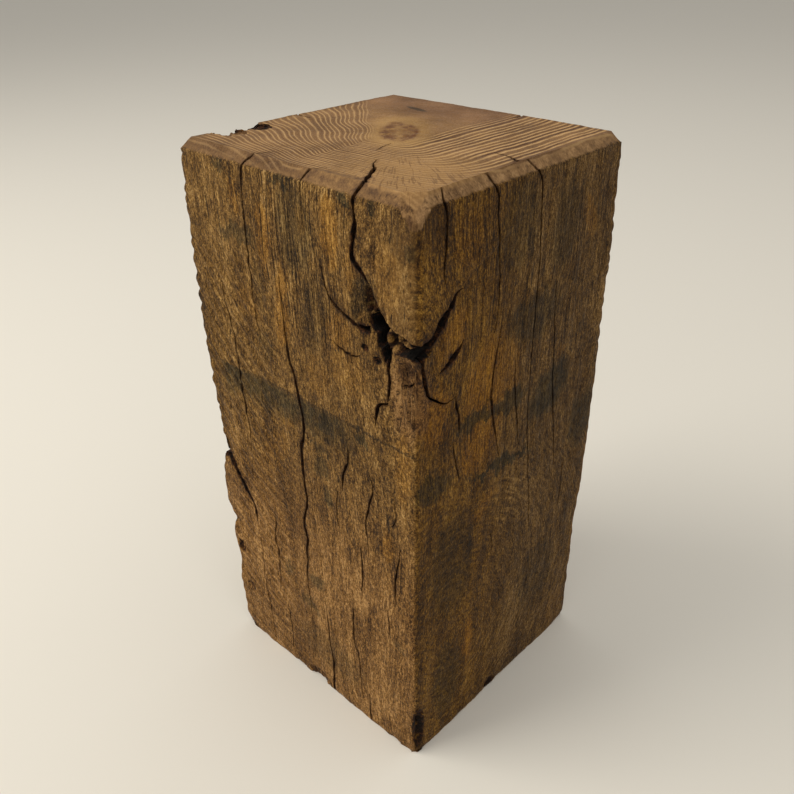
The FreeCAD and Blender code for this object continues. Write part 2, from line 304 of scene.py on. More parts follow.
# how far each long edge has been worn or hewn away, up its height: (height, loss)
EDGE_LOSS = {
    0.0: [(0, 2.4), (7, 0.6), (20, 0.0), (38, -0.3), (52, 1.6), (62, 0.5), (74, -0.2), (81, 2.2), (86, 1.0),
          (93, -0.5), (110, -0.6), (122, -0.2), (127, 1.0), (130, 3.2), (140, 1.6), (150, 1.0), (165, 0.2),
          (200, -0.9), (235, -1.2), (270, -0.8), (290, 0.2)],
    RIGHT: [(0, 1.0), (10, 0.4), (40, 0.0), (120, -0.2), (180, 0.1), (200, -0.2), (245, -0.7), (290, 0.0)],
    BACK: [(0, 0.3), (60, 0.4), (77, 1.2), (84, 0.4), (100, -0.5), (150, -0.9), (245, -0.9), (262, -0.2),
           (290, 0.8)],
    LEFT: [(0, 1.0), (40, 0.4), (60, 2.4), (80, 0.6), (150, 0.2), (180, 1.8), (196, 3.0), (212, 1.4),
           (250, 0.2), (290, 0.6)],
}
EDGE_RADIUS = {
    0.0: [(0, 2.0), (120, 1.4), (290, 1.0)],
    RIGHT: [(0, 3.0), (170, 3.0), (200, 2.5), (238, 3.0), (250, 6.0), (275, 5.0), (290, 2.0)],
    BACK: [(0, 1.2), (290, 1.2)],
    LEFT: [(0, 2.2), (290, 2.2)],
}
SCALLOPS = {0.0: (150, 292, 8.0, 1.1), BACK: (190, 285, 8.0, 0.8)}     # from, to, pitch, depth


def at_edge(table, s, v):
    """A value given up each long edge, taken from the edge nearest to each place."""
    edges = np.array([0.0, RIGHT, BACK, LEFT, ROUND])
    nearest = np.argmin(np.abs(s[:, None] - edges), axis=1)
    out = np.zeros(len(s))
    for i, edge in enumerate([0.0, RIGHT, BACK, LEFT, 0.0]):
        here = nearest == i
        heights, values = np.array(table[edge], float).T
        out[here] = np.interp(v[here], heights, values)
    return out, np.min(np.abs(s[:, None] - edges), axis=1)


def edge_loss(s, v):
    """How far the sides are hewn in near the long edges."""
    loss, away = at_edge(EDGE_LOSS, s, v)
    ragged = noise(np.column_stack([v * 0.16, s * 0.02, s * 0])) * 0.5
    out = (loss + ragged) * np.exp(-(away / 9.0) ** 2)
    for edge, (start, stop, pitch, depth) in SCALLOPS.items():
        gap = np.minimum(np.abs(s - edge), np.abs(s - edge - ROUND))
        wobble = noise(np.column_stack([v * 0.06, v * 0 + edge, v * 0 + 5.0]))
        wave = 1 - np.abs(np.sin(math.pi * (v / pitch + wobble * 1.6)))
        within = smooth(start - 8, start + 4, v) * (1 - smooth(stop - 4, stop, v))
        out += wave * depth * within * (0.6 + 0.9 * wobble) * np.exp(-(gap / 7.0) ** 2)
    return out


# ---------------------------------------------------------------- relief of the sides

# rotted or torn pits: (s, v, half across, half up, depth, roughness, darkness); the darkness is painted
# shade in the hollow mixed with rot colour
PITS = [
    (121.9, 242.9, 6.2, 5.4, 12.0, 0.4, 1.0),
    (123.6, 237.5, 3.2, 5.5, 8.0, 0.8, 1.0),
    (125.8, 232.0, 2.4, 5.0, 5.0, 0.9, 1.0),
    (117.6, 250.5, 3.6, 8.0, 2.6, 1.0, 0.5),
    (133.0, 237.4, 9.5, 5.0, 4.2, 0.3, 0.75),
    (143.5, 235.6, 8.5, 3.6, 9.0, 0.3, 1.0),
    (114.8, 230.4, 2.2, 1.8, 1.6, 0.8, 0.8),
    (121.6, 226.9, 2.4, 1.8, 1.8, 0.8, 0.9),
    (139.0, 226.0, 8.0, 8.0, 1.2, 1.0, 0.35),
    (144.2, 19.0, 6.0, 16.0, 4.4, 0.9, 0.66),
    (6.0, 64.0, 4.0, 5.0, 1.8, 0.9, 0.5),
    (10.0, 35.0, 4.0, 4.0, 1.4, 0.9, 0.5),
    (68.0, 4.0, 9.0, 5.0, 1.6, 0.5, 0.4),
    (RIGHT + 62.0, 3.0, 5.0, 4.0, 1.6, 0.5, 0.7),
    (LEFT + 40.0, 120.0, 6.0, 22.0, 1.6, 0.7, 0.4),
    (BACK + 30.0, 205.0, 9.0, 14.0, 1.8, 0.5, 0.4),
]

# swellings of sound wood in and beside the pits: (s, v, half across, half up, height)
LUMPS = [
    (127.4, 238.0, 1.7, 3.0, 3.0), (131.0, 234.8, 2.6, 2.0, 3.0), (137.0, 238.2, 4.6, 1.5, 3.2),
    (132.2, 239.4, 2.2, 1.6, 2.4), (117.6, 245.6, 0.9, 1.2, 4.0), (117.0, 223.6, 1.4, 2.6, 0.9),
    (119.0, 220.4, 1.4, 2.6, 0.9), (121.2, 216.6, 1.4, 2.6, 0.9), (123.4, 212.8, 1.4, 2.6, 0.9),
    (123.5, 221.0, 2.8, 7.0, 0.8), (151.0, 232.0, 3.0, 4.5, 0.7), (116.5, 234.5, 4.0, 3.0, 0.6),
]

# the outline of the tongue of sound wood over the knot: its left and right sides, by height
TONGUE_LEFT = [
    (239.3, 143.0), (240.2, 139.1), (241.5, 134.7), (242.7, 129.5), (245.5, 125.1), (250.0, 122.2),
    (255.6, 119.3), (260.0, 116.5), (263.2, 113.5), (266.3, 110.2), (270.0, 109.6), (295.0, 111.5),
]
TONGUE_RIGHT = [
    (238.3, 147.0), (239.2, 151.6), (242.2, 154.8), (245.8, 158.0), (249.8, 162.1), (254.0, 165.3),
    (262.0, 180.0), (295.0, 260.0),
]


def out_from(s, v, middle_s, middle_v, half_s, half_v):
    """How far out of an ellipse on the sides each place lies: 1 on its rim."""
    return np.hypot((s - middle_s) / half_s, (v - middle_v) / half_v)


def zone(s, v, ellipse, soft=0.35):
    """1 inside an ellipse on the sides, falling to 0 at its rim."""
    return 1 - smooth(1 - soft, 1, out_from(s, v, *ellipse))


def tongue(s, v):
    """How proud the tongue of sound wood over the knot stands, 0 to 1, swelling in from its outline."""
    left = np.interp(v, *np.array(TONGUE_LEFT).T)
    right = np.interp(v, *np.array(TONGUE_RIGHT).T)
    inside = np.minimum(s - left, right - s)
    inside = np.where(v > 238.6, np.clip(inside, 0, None), 0)
    return (1 - np.exp(-inside / 2.2)) * (1 - 0.9 * smooth(256, 288, v))


def side_relief(points, s, v):
    """How far in each place on the sides lies: grain, hewing, saw marks and the wood round the knot."""
    out = 0.45 * noise(points * (0.035, 0.035, 0.014))
    out += 0.30 * noise(points * (0.16, 0.16, 0.022), 12)
    out += 0.16 * noise(points * (0.45, 0.45, 0.05), 13)
    out += 0.09 * noise(points * (1.1, 1.1, 0.10), 14)
    # hewing marks that run down to the right over the left part of the front
    slant = (s * 0.74 + v * 0.67) / 6.5 + noise(points * (0.03, 0.03, 0.03), 15)
    hewn = (1 - smooth(38, 66, s)) * (s < RIGHT) * smooth(8, 60, v) * (1 - smooth(236, 262, v))
    out += hewn * 0.30 * np.sin(2 * math.pi * slant)
    # saw marks that arch over the lower right face
    far = np.hypot(s - RIGHT + 20, v - 20) / 7.0
    sawn = zone(s, v, (RIGHT + 60, 110, 80, 70), 0.6)
    out += sawn * 0.12 * np.sin(2 * math.pi * (far + 0.4 * noise(points * 0.04, 16)))
    # the back and left faces are hewn more coarsely
    rough_side = smooth(BACK, BACK + 10, s)
    chops = noise(points * (0.06, 0.06, 0.10), 17)
    out += rough_side * 0.5 * np.abs(chops)
    # the tongue stands proud, the wood to its left and below lies in
    proud = tongue(s, v)
    out -= 0.8 * proud
    out += 2.2 * zone(s, v, (120, 247, 14, 17), 0.9) * (1 - smooth(0.0, 0.3, proud))
    fibres = zone(s, v, (138, 214, 11, 22), 0.5)
    out += fibres * (1.2 + 0.9 * noise(points * (0.6, 0.6, 0.09), 18))
    # the split-off slab at the left arris
    slab = zone(s, v, (6, 105, 16, 22), 0.6)
    out -= 0.9 * slab * (v < 128)
    # streaky raised grain below the top edge
    ribs = zone(s, v, (72, 262, 24, 34), 0.7)
    out += ribs * 0.18 * noise(points * (0.7, 0.7, 0.03), 19)
    return out


def pits(points, s, v):
    """The rotted and torn pits on the sides: how far in they lie, and how dark they are painted, with
    painted shade in the hollow and rot colour.
    """
    rough = noise(points * 0.36, 20) + 0.7 * noise(points * 0.8, 21)
    out = np.zeros(len(s))
    dark = np.zeros(len(s))
    for *ellipse, depth, roughness, shade in PITS:
        r = out_from(s, v, *ellipse) + 0.25 * rough * roughness
        bowl = 1 - smooth(0.45, 1.0, r)
        out = np.maximum(out, bowl * depth * (1 + 0.55 * roughness * rough))
        patchy = np.clip(1 + 0.8 * roughness * np.clip(rough, -1, 0), 0, 1)
        # painted shade and rot colour: each hollow is darkened, patchily, up to its rim
        dark = np.maximum(dark, shade * (1 - smooth(0.84, 1.02, r)) * patchy ** 1.8)
    for *ellipse, height in LUMPS:
        r = out_from(s, v, *ellipse) + 0.15 * rough
        swell = 1 - smooth(0.2, 1.3, r)
        out -= swell * height
        dark *= 1 - smooth(0.3, 0.8, swell)
    return out, dark


# lumps broken out of edges: (centre, half sizes, darkness of the painted shade in the broken hollow), in
# the block's own frame
CHIPS = [
    ((-WIDE / 2 + 11, -DEEP / 2 + 37, TALL + 0.5), (6.5, 6.0, 5.5), 0.5),
    ((-WIDE / 2 + 5, -DEEP / 2 + 34, TALL + 1.5), (9, 8.0, 5.0), 0.6),
    ((-WIDE / 2 + 7, -DEEP / 2 + 22, TALL + 2.5), (13, 9.0, 5.5), 0.3),
    ((-WIDE / 2 - 3, -DEEP / 2 + 28, TALL + 3), (8, 17.0, 14.0), 0.3),
    ((-WIDE / 2 - 1, -DEEP / 2 + 7, TALL + 3), (5, 6.0, 5.0), 0.2),
    ((-3.0, -DEEP / 2 - 1, -1), (9, 4, 4), 0.3),
    ((-20.0, -DEEP / 2 - 1, -1), (6, 3, 2.5), 0.2),
    ((WIDE / 2 + 1, -DEEP / 2 - 1, -2), (5, 5, 6), 0.4),
    ((WIDE / 2 + 1, DEEP / 2 + 1, TALL + 1), (6, 6, 3.5), 0.0),
    ((-12.0, DEEP / 2 + 1, TALL + 1), (3, 3.5, 4), 0.0),
    ((14.0, DEEP / 2 + 1, TALL + 1), (6, 3, 3), 0.6),
    ((-WIDE / 2 - 1, DEEP / 2 + 1, 120), (5, 5, 16), 0.2),
]
# the deeper facet at the top of the front right arris: where it starts along each face and down the arris
FACET_RUN = 7.0
FACET_DROP = 4.5


def break_chips(points):
    """Pushes the surface out of each chip's lump, and paints shade into the broken hollow."""
    rough = 0.22 * noise(points * 0.22, 22) + 0.16 * noise(points * 0.6, 23)
    dark = np.zeros(len(points))
    for centre, sizes, shade in CHIPS:
        local = (points - centre) / sizes
        r = np.linalg.norm(local, axis=1)
        wall = 1 + rough
        hit = (r < wall) & (r > 1e-6)
        dark[hit] = np.maximum(dark[hit], shade * np.clip((wall - r)[hit] * 4, 0, 1))
        points[hit] = centre + local[hit] / r[hit, None] * wall[hit, None] * sizes
    return points, dark


def cut_facet(points):
    """Planes off the top of the front right arris."""
    a = np.array([WIDE / 2 - FACET_RUN, -DEEP / 2, TALL - BEVEL])
    b = np.array([WIDE / 2, -DEEP / 2 + FACET_RUN, TALL - BEVEL])
    c = np.array([WIDE / 2, -DEEP / 2, TALL - BEVEL - FACET_DROP])
    normal = np.cross(c - a, b - a)
    normal /= np.linalg.norm(normal)
    over = (points - a) @ normal + 0.25 * noise(points * (0.5, 0.5, 0.1), 24)
    over = np.clip(over, 0, None)
    return points - over[:, None] * normal


# ---------------------------------------------------------------- the mesh

def row_heights():
    """Heights of the rows of grid points up the sides, to the foot of the bevel."""
    ends = [start for start, _ in ROW_BANDS[1:]] + [TALL - BEVEL]
    rows = []
    for (start, spacing), end in zip(ROW_BANDS, ends):
        count = max(1, round((end - start) / spacing))
        rows += list(np.linspace(start, end, count, endpoint=False))
    return np.array(rows + [TALL - BEVEL])


def on_sides(s, v, inset, lift):
    """Places and outward directions on the worn prism. lift turns the direction up, 0 to 1."""
    s = np.mod(s, ROUND)
    radius, _ = at_edge(EDGE_RADIUS, s, v)
    starts = np.array([0.0, RIGHT, BACK, LEFT])
    lengths = np.array([WIDE, DEEP, WIDE, DEEP])
    face = np.clip(np.searchsorted(starts, s, side="right") - 1, 0, 3)
    along = s - starts[face]
    length = lengths[face]
    corners = np.array([(-1, -1), (1, -1), (1, 1), (-1, 1)]) * (WIDE / 2, DEEP / 2)
    forward = np.array([(1, 0), (0, 1), (-1, 0), (0, -1)], float)[face]
    outward = np.array([(0, -1), (1, 0), (0, 1), (-1, 0)], float)[face]
    near_end = along > length / 2
    away = np.where(near_end, length - along, along)
    turn = np.where(away < radius, (1 - away / radius) * math.pi / 4, 0)
    away = np.where(away < radius, radius - radius * np.sin(turn), away)
    sink = radius - radius * np.cos(turn)
    # the bevel draws each side in, and the corners with it
    away = away * (1 - 2 * inset / length) + inset
    along = np.where(near_end, length - away, away)
    flat = corners[face] + forward * along[:, None] - outward * (sink + inset)[:, None]
    side = np.where(near_end, 1, -1)
    direction = outward * np.cos(turn)[:, None] + forward * (side * np.sin(turn))[:, None]
    tilt = lift * math.pi / 2
    direction = np.column_stack([direction * np.cos(tilt)[:, None], np.sin(tilt)])
    return np.column_stack([flat, v]), direction


def build_sides(columns):
    """The four sides and the bevel as a grid of points, rows from the base up."""
    heights = row_heights()
    bevel = np.linspace(0, 1, BEVEL_ROWS + 1)[1:]
    v = np.concatenate([heights, TALL - BEVEL + bevel * BEVEL])
    inset = np.concatenate([heights * 0, bevel * BEVEL_IN])
    lift = np.concatenate([heights * 0, 0.35 + 0.65 * bevel])
    rows = len(v)

    def along_rows(values):
        return np.repeat(values, len(columns))

    places = np.column_stack([np.tile(columns, rows), along_rows(v)])
    steps = np.column_stack([np.full(len(places), ACROSS_STEP), along_rows(np.gradient(v))])
    fixed = along_rows((np.arange(rows) == 0) | (np.arange(rows) >= len(heights)))
    held = places[:, 1].copy()
    deep, dark = carve(places, steps, SIDE_CHECKS)
    # checks at the front left arris reach round on to the left face
    deep_round, dark_round = carve(places - (ROUND, 0), steps, SIDE_CHECKS)
    deep, dark = np.maximum(deep, deep_round), np.maximum(dark, dark_round)
    places[fixed, 1] = held[fixed]
    points, direction = on_sides(places[:, 0], places[:, 1], along_rows(inset), along_rows(lift))
    s, height = np.mod(places[:, 0], ROUND), places[:, 1]
    # the relief is gentler on the bevel
    calm = along_rows(1 - 0.6 * np.concatenate([heights * 0, bevel]))
    sink = side_relief(points, s, height) * calm + edge_loss(s, height) * calm
    pit, pit_dark = pits(points, s, height)
    sink += np.where(deep > pit, deep, pit)
    dark = np.maximum(dark, pit_dark)
    # the foot is worn in
    foot = 1 - smooth(0, 3.0, height)
    sink += foot * (0.7 + 0.6 * noise(points * 0.12, 25))
    points = points - direction * sink[:, None]
    points[:len(columns), 2] = 0.0
    return points, dark, rows


def top_relief(points):
    """How far down each place on the top lies: the cross-cut saw's marks and a rough dip round the knot."""
    flat = points * (1, 1, 0)
    out = 0.25 * noise(flat * 0.03, 26) + 0.10 * noise(flat * 0.15, 27)
    out += 0.05 * noise(flat * (0.33, 0.33, 0), 28)
    knot = np.hypot(flat[:, 0] + 2, flat[:, 1] - 2)
    return out + 0.5 * (1 - smooth(6, 14, knot)) * (0.5 + noise(flat * 0.3, 29)) + 0.35


def build_cap(count_x, count_y, inset, height):
    """The inner grid points of an end of the block."""
    x = np.linspace(-WIDE / 2 + inset, WIDE / 2 - inset, count_x + 1)[1:-1]
    y = np.linspace(-DEEP / 2 + inset, DEEP / 2 - inset, count_y + 1)[1:-1]
    grid_y, grid_x = np.meshgrid(y, x, indexing="ij")
    return np.column_stack([grid_x.ravel(), grid_y.ravel(), np.full(grid_x.size, height)])


def cap_faces(rim, inner_start, count_x, count_y, upward):
    """Quads of an end, from the ring of rim points and the inner grid."""
    grid = np.zeros((count_y + 1, count_x + 1), int)
    inner = np.arange((count_x - 1) * (count_y - 1)).reshape(count_y - 1, count_x - 1)
    grid[1:-1, 1:-1] = inner_start + inner
    grid[0, :] = rim[:count_x + 1]
    grid[:, -1] = rim[count_x:count_x + count_y + 1]
    grid[-1, ::-1] = rim[count_x + count_y:2 * count_x + count_y + 1]
    grid[::-1, 0] = rim[np.arange(2 * count_x + count_y, 2 * (count_x + count_y) + 1) % len(rim)]
    quads = np.stack([grid[:-1, :-1], grid[:-1, 1:], grid[1:, 1:], grid[1:, :-1]], axis=-1).reshape(-1, 4)
    return quads if upward else quads[:, ::-1]


def block_points():
    """Every point and quad of the block, before it is thinned."""
    count_x = round(WIDE / ACROSS_STEP)
    count_y = round(DEEP / ACROSS_STEP)
    columns = np.concatenate([
        np.linspace(0, RIGHT, count_x, endpoint=False),
        np.linspace(RIGHT, BACK, count_y, endpoint=False),
        np.linspace(BACK, LEFT, count_x, endpoint=False),
        np.linspace(LEFT, ROUND, count_y, endpoint=False),
    ])
    sides, side_dark, rows = build_sides(columns)
    around = len(columns)
    ring = np.arange(around)
    lower = (np.arange(rows - 1)[:, None] * around + ring[None]).ravel()
    nxt = (np.arange(rows - 1)[:, None] * around + np.roll(ring, -1)[None]).ravel()
    quads = [np.column_stack([lower, nxt, nxt + around, lower + around])]
    top = build_cap(count_x, count_y, BEVEL_IN, TALL)
    places = top[:, :2] + (WIDE / 2, DEEP / 2)
    step = np.full((len(places), 2), ACROSS_STEP)
    far_rim = (WIDE - BEVEL_IN, DEEP - BEVEL_IN)
    rim_gap = np.min(np.abs(np.column_stack([places - BEVEL_IN, places - far_rim])), axis=1)
    before = places.copy()
    deep, top_dark = carve(places, step, TOP_CHECKS)
    held = rim_gap < 0.7 * ACROSS_STEP
    places[held] = before[held]
    top[:, :2] = places - (WIDE / 2, DEEP / 2)
    edge = smooth(0, 4, rim_gap)
    top[:, 2] -= top_relief(top) * edge + deep
    rim_sink = (TALL - sides[-around:, 2]).mean()
    top[:, 2] -= rim_sink * (1 - edge)
    base = build_cap(count_x, count_y, 0.0, 0.0)
    quads.append(cap_faces((rows - 1) * around + ring, len(sides), count_x, count_y, True))
    quads.append(cap_faces(ring, len(sides) + len(top), count_x, count_y, False))
    points = np.vstack([sides, top, base])
    dark = np.concatenate([side_dark, top_dark, np.zeros(len(base))])
    points, chip_dark = break_chips(points)
    points = cut_facet(points)
    furthest = np.array([WIDE / 2, DEEP / 2, TALL]) + PROUD
    points = np.clip(points, (-furthest[0], -furthest[1], 0.0), furthest)
    return points, np.maximum(dark, chip_dark), np.vstack(quads)


def make_mesh(name, points, dark, quads):
    """A Blender mesh object from points in millimetres, with how dark each is painted: painted shade in
    checks, pits and chipped hollows, and rot colour in the pits.
    """
    mesh = bpy.data.meshes.new(name)
    mesh.vertices.add(len(points))
    mesh.vertices.foreach_set("co", (points * MM).astype(np.float32).ravel())
    mesh.loops.add(quads.size)
    mesh.loops.foreach_set("vertex_index", quads.astype(np.int32).ravel())
    mesh.polygons.add(len(quads))
    mesh.polygons.foreach_set("loop_start", np.arange(0, quads.size, 4, dtype=np.int32))
    mesh.update(calc_edges=True)
    mesh.validate()
    mesh.attributes.new("dark", "FLOAT", "POINT").data.foreach_set("value", dark.astype(np.float32))
    piece = bpy.data.objects.new(name, mesh)
    bpy.context.scene.collection.objects.link(piece)
    return piece


def thin(piece, triangles):
    """Takes the mesh down to that many triangles, keeping the checks and edges."""
    now = len(piece.data.polygons) * 2
    modifier = piece.modifiers.new("thin", "DECIMATE")
    modifier.ratio = min(1.0, triangles / now)
    modifier.use_collapse_triangulate = True
    depsgraph = bpy.context.evaluated_depsgraph_get()
    thinned = bpy.data.meshes.new_from_object(piece.evaluated_get(depsgraph))
    piece.modifiers.remove(modifier)
    old = piece.data
    piece.data = thinned
    thinned.name = piece.name
    bpy.data.meshes.remove(old)


def build_block():
    """The block as one closed mesh."""
    points, dark, quads = block_points()
    piece = make_mesh("weathered_block", points, dark, quads)
    thin(piece, MOST_TRIANGLES)
    mesh = piece.data
    mesh.shade_smooth()
    mesh.set_sharp_from_angle(angle=math.radians(SHARP_ANGLE))
    return piece


# ---------------------------------------------------------------- material

class Graph:
    """Short calls for wiring a node tree. An input may be a number, a tuple or another node's socket."""

    def __init__(self, tree):
        self.tree = tree

    def node(self, kind, inputs=(), output=0, **settings):
        node = self.tree.nodes.new(kind)
        for key, value in settings.items():
            setattr(node, key, value)
        pairs = inputs.items() if isinstance(inputs, dict) else enumerate(inputs)
        for key, value in pairs:
            if value is None:
                continue
            if isinstance(value, bpy.types.NodeSocket):
                self.tree.links.new(value, node.inputs[key])
            else:
                node.inputs[key].default_value = value
        return node.outputs[output]

    def math(self, operation, a, b=None, c=None):
        return self.node("ShaderNodeMath", (a, b, c), operation=operation)

    def add(self, a, b):
        return self.math("ADD", a, b)

    def sub(self, a, b):
        return self.math("SUBTRACT", a, b)

    def mul(self, a, *others):
        for other in others:
            a = self.math("MULTIPLY", a, other)
        return a

    def larger(self, a, b):
        return self.math("MAXIMUM", a, b)

    def smaller(self, a, b):
        return self.math("MINIMUM", a, b)

    def mul_add(self, a, b, c):
        return self.math("MULTIPLY_ADD", a, b, c)

    def vector(self, operation, a, b=None):
        return self.node("ShaderNodeVectorMath", (a, b), operation=operation)

    def length(self, a):
        return self.node("ShaderNodeVectorMath", (a,), output=1, operation="LENGTH")

    def scale(self, a, factor):
        return self.node("ShaderNodeVectorMath", {0: a, "Scale": factor}, operation="SCALE")

    def join(self, x, y, z):
        return self.node("ShaderNodeCombineXYZ", (x, y, z))

    def split(self, vector):
        node = self.tree.nodes.new("ShaderNodeSeparateXYZ")
        self.tree.links.new(vector, node.inputs[0])
        return node.outputs

    def blend(self, *parts):
        """0.5 plus each (value, weight) pair's share of how far its value is from 0.5."""
        total = 0.5
        for value, weight in parts:
            total = self.mul_add(self.sub(value, 0.5), weight, total)
        return total

    def mix_value(self, factor, a, b):
        """Mixes two numbers."""
        return self.mul_add(self.sub(b, a), factor, a)

    def step(self, value, low, high, to_low=0.0, to_high=1.0):
        """A smooth step from to_low to to_high."""
        return self.node("ShaderNodeMapRange", (value, low, high, to_low, to_high),
                         interpolation_type="SMOOTHSTEP")

    def noise(self, vector, detail=2.0, rough=0.5, output=0):
        """Noise at a place in the cells given; output 1 gives a colour in place of a number."""
        return self.node("ShaderNodeTexNoise",
                         {"Vector": vector, "Scale": 1.0, "Detail": detail, "Roughness": rough}, output)

    def pattern(self, place, per_mm, detail=2.0, rough=0.5, output=0):
        """Noise with this many cells a millimetre along x, y and z."""
        return self.noise(self.vector("MULTIPLY", place, per_mm), detail, rough, output)

    def mix(self, factor, a, b, blend="MIX"):
        """Mixes two colours by a share of the second. A colour may be (red, green, blue)."""
        node = self.tree.nodes.new("ShaderNodeMix")
        node.data_type = "RGBA"
        node.blend_type = blend
        for socket, value in zip((node.inputs[0], node.inputs[6], node.inputs[7]), (factor, a, b)):
            if isinstance(value, tuple):
                value = rgb(*value)
            if isinstance(value, bpy.types.NodeSocket):
                self.tree.links.new(value, socket)
            else:
                socket.default_value = value
        return node.outputs[2]

    def tint(self, factor, a, b):
        """Multiplies a colour by another, by a share."""
        return self.mix(factor, a, self.mix(1.0, a, b, "MULTIPLY"))

    def waves(self, distance, spacing):
        """-1 to 1 and back, once each spacing."""
        return self.math("COSINE", self.mul(distance, 2 * math.pi / spacing))

    def turned(self, vector, degrees):
        return self.node("ShaderNodeVectorRotate", {"Vector": vector, "Angle": math.radians(degrees)},
                         rotation_type="Z_AXIS")

    def ramp(self, value, *stops):
        """A colour ramp through stops: (place, red, green, blue)."""
        node = self.tree.nodes.new("ShaderNodeValToRGB")
        elements = node.color_ramp.elements
        while len(elements) < len(stops):
            elements.new(0.5)
        for element, (place, *colour) in zip(elements, stops):
            element.position = place
            element.color = rgb(*colour)
        self.tree.links.new(value, node.inputs[0])
        return node.outputs[0]


def rgb(red, green, blue):
    """A colour from its screen values, 0 to 255."""
    def linear(value):
        value /= 255
        return value / 12.92 if value <= 0.04045 else ((value + 0.055) / 1.055) ** 2.4
    return (linear(red), linear(green), linear(blue), 1.0)


# Places that the material needs. On a face they are (across, up), and on the top (u, w).
SIDE_KNOT = (WIDE / 2 - 12, -DEEP / 2 + 8, 232)     # the knot at the front right arris
FRONT_SAW = (140, 330)          # middle of the saw's arcs on the front
FRONT_SAW_SPACING = 6.5
RIGHT_SAW = (25, 70)            # and on the right face
RIGHT_SAW_SPACING = 5.0
TOP_KNOT = (67, 72)
TOP_KNOT_HALF = (17.5, 8.0, 1.0)
TOP_KNOT_TURN = 48
RING_SPACING = 2.8
RING_CORNER = 3.0               # how sharply the rings turn: higher is sharper
BUMP_HEIGHT = 0.5 * MM

# soft-edged patches of colour: (across, up, half across, half up, turn in degrees, strength)
FRONT_GOLD = [
    (55, 261, 5, 17, 0, 0.9), (63, 230, 4.5, 24, 8, 0.8), (80, 274, 4, 6, 0, 0.6),
    (97, 275, 5, 16, 0, 0.9), (37, 276, 4, 7, 0, 0.6), (125, 133, 4, 9, 0, 0.8),
    (40, 228, 10, 10, 40, 0.35), (100, 232, 9, 10, 0, 0.55), (104, 215, 14, 12, 0, 0.35),
    (48, 150, 8, 20, 30, 0.3), (84, 205, 9, 12, 0, 0.3), (135, 180, 5, 22, 0, 0.5),
    (60, 173, 4, 5, 0, 0.6), (127, 262, 9, 14, 0, 0.3), (108, 262, 4, 9, 0, 0.4),
]
FRONT_DARK = [
    (36, 259, 14, 5, 0, 0.7), (76, 270, 13, 22, 0, 0.6), (28, 288, 6, 2, 0, 0.8),
    (69, 288, 8, 2.4, 0, 0.9), (106, 288, 4.4, 2.8, 0, 1.0), (120, 288, 2.4, 2, 0, 0.9),
    (110, 185, 5, 4.4, 0, 0.9), (82, 157, 6, 7, 0, 0.7), (86, 141, 4, 6, -8, 0.8), (72, 78, 7, 5, 0, 0.7),
    (66, 58, 10, 4, 20, 0.6), (50, 74, 3.4, 3.4, 0, 0.6), (114, 251, 7, 11, 25, 0.6),
    (84, 236, 10, 22, 10, 0.35), (48, 237, 5, 12, 0, 0.35), (139, 277, 3, 4, 0, 0.6),
    (49, 208, 6, 8, 0, 0.4), (131, 73, 4, 3, 0, 0.4), (78, 30, 30, 16, 0, 0.3), (82, 167, 8, 3, 0, 0.6),
]
RIGHT_GOLD = [
    (46, 196, 18, 36, 5, 0.85), (40, 172, 12, 12, 0, 0.85), (62, 205, 8, 22, 0, 0.7),
    (11, 203, 11, 16, 0, 0.9), (40, 55, 4, 19, 0, 0.9), (137, 100, 3, 70, 0, 0.5),
    (116, 262, 5, 11, -15, 0.9), (48, 138, 12, 5, -30, 0.5), (88, 184, 9, 3, -20, 0.7),
    (22, 235, 8, 14, 30, 0.6), (30, 273, 9, 14, 0, 0.3), (75, 237, 10, 3, 0, 0.5),
    (103, 200, 4, 3, 0, 0.6), (125, 15, 12, 18, 0, 0.4),
]
RIGHT_DARK = [
    (78, 226, 22, 14, 0, 0.6), (95, 181, 20, 14, -20, 0.9), (10, 168, 15, 9, 0, 0.8),
    (40, 190, 19, 5, 0, 0.9), (60, 156, 27, 3.0, 6, 1.0), (25, 115, 18, 36, 0, 0.5),
    (128, 150, 12, 18, 0, 0.7), (24, 40, 12, 30, 0, 0.6), (62, 270, 16, 22, 0, 0.5),
    (96, 262, 12, 22, 0, 0.5), (100, 60, 20, 26, 0, 0.3), (62, 189, 16, 6, 0, 0.9),
]


def patches(g, across, up, places):
    """The strongest of a face's soft patches at each point."""
    total = 0.0
    for middle_a, middle_u, half_a, half_u, turn, strength in places:
        a, b = g.sub(across, middle_a), g.sub(up, middle_u)
        place = g.join(a, b, 0.0)
        if turn:
            place = g.turned(place, turn)
        r = g.length(g.vector("DIVIDE", place, (half_a, half_u, 1.0)))
        total = g.larger(total, g.step(r, 1.12, 0.62, 0.0, strength))
    return total


def wood_coordinates(g):
    """Object coordinates in millimetres."""
    place = g.node("ShaderNodeTexCoord", output=3)
    return g.scale(place, 1 / MM)


def round_centre(g, across, up, centre, radius):
    """How far a place on a face lies from a centre, and how far round it on an arc of that radius."""
    a, b = g.sub(across, centre[0]), g.sub(up, centre[1])
    return g.length(g.join(a, b, 0.0)), g.mul(g.math("ARCTAN2", b, a), radius)


def led_round_knot(g, place, z):
    """Coordinates whose grain lines swing round the knot at the front right arris, and wander a little."""
    side = Vector((1, 1, 0)).normalized()
    away = g.vector("SUBTRACT", place, SIDE_KNOT)
    across = g.node("ShaderNodeVectorMath", (away, tuple(side)), output=1, operation="DOT_PRODUCT")
    high = g.sub(z, SIDE_KNOT[2])
    square = g.add(g.mul(across, across), g.mul(high, high, 0.22))
    pull = g.math("DIVIDE", -330.0, g.add(square, 160.0))
    grain = g.vector("ADD", place, g.scale(tuple(side), g.mul(across, pull)))
    wander = g.pattern(place, (0.012, 0.012, 0.012), detail=1.0)
    lean = g.mul(g.sub(wander, 0.5), 16.0)
    return g.vector("ADD", grain, g.join(lean, lean, 0.0))


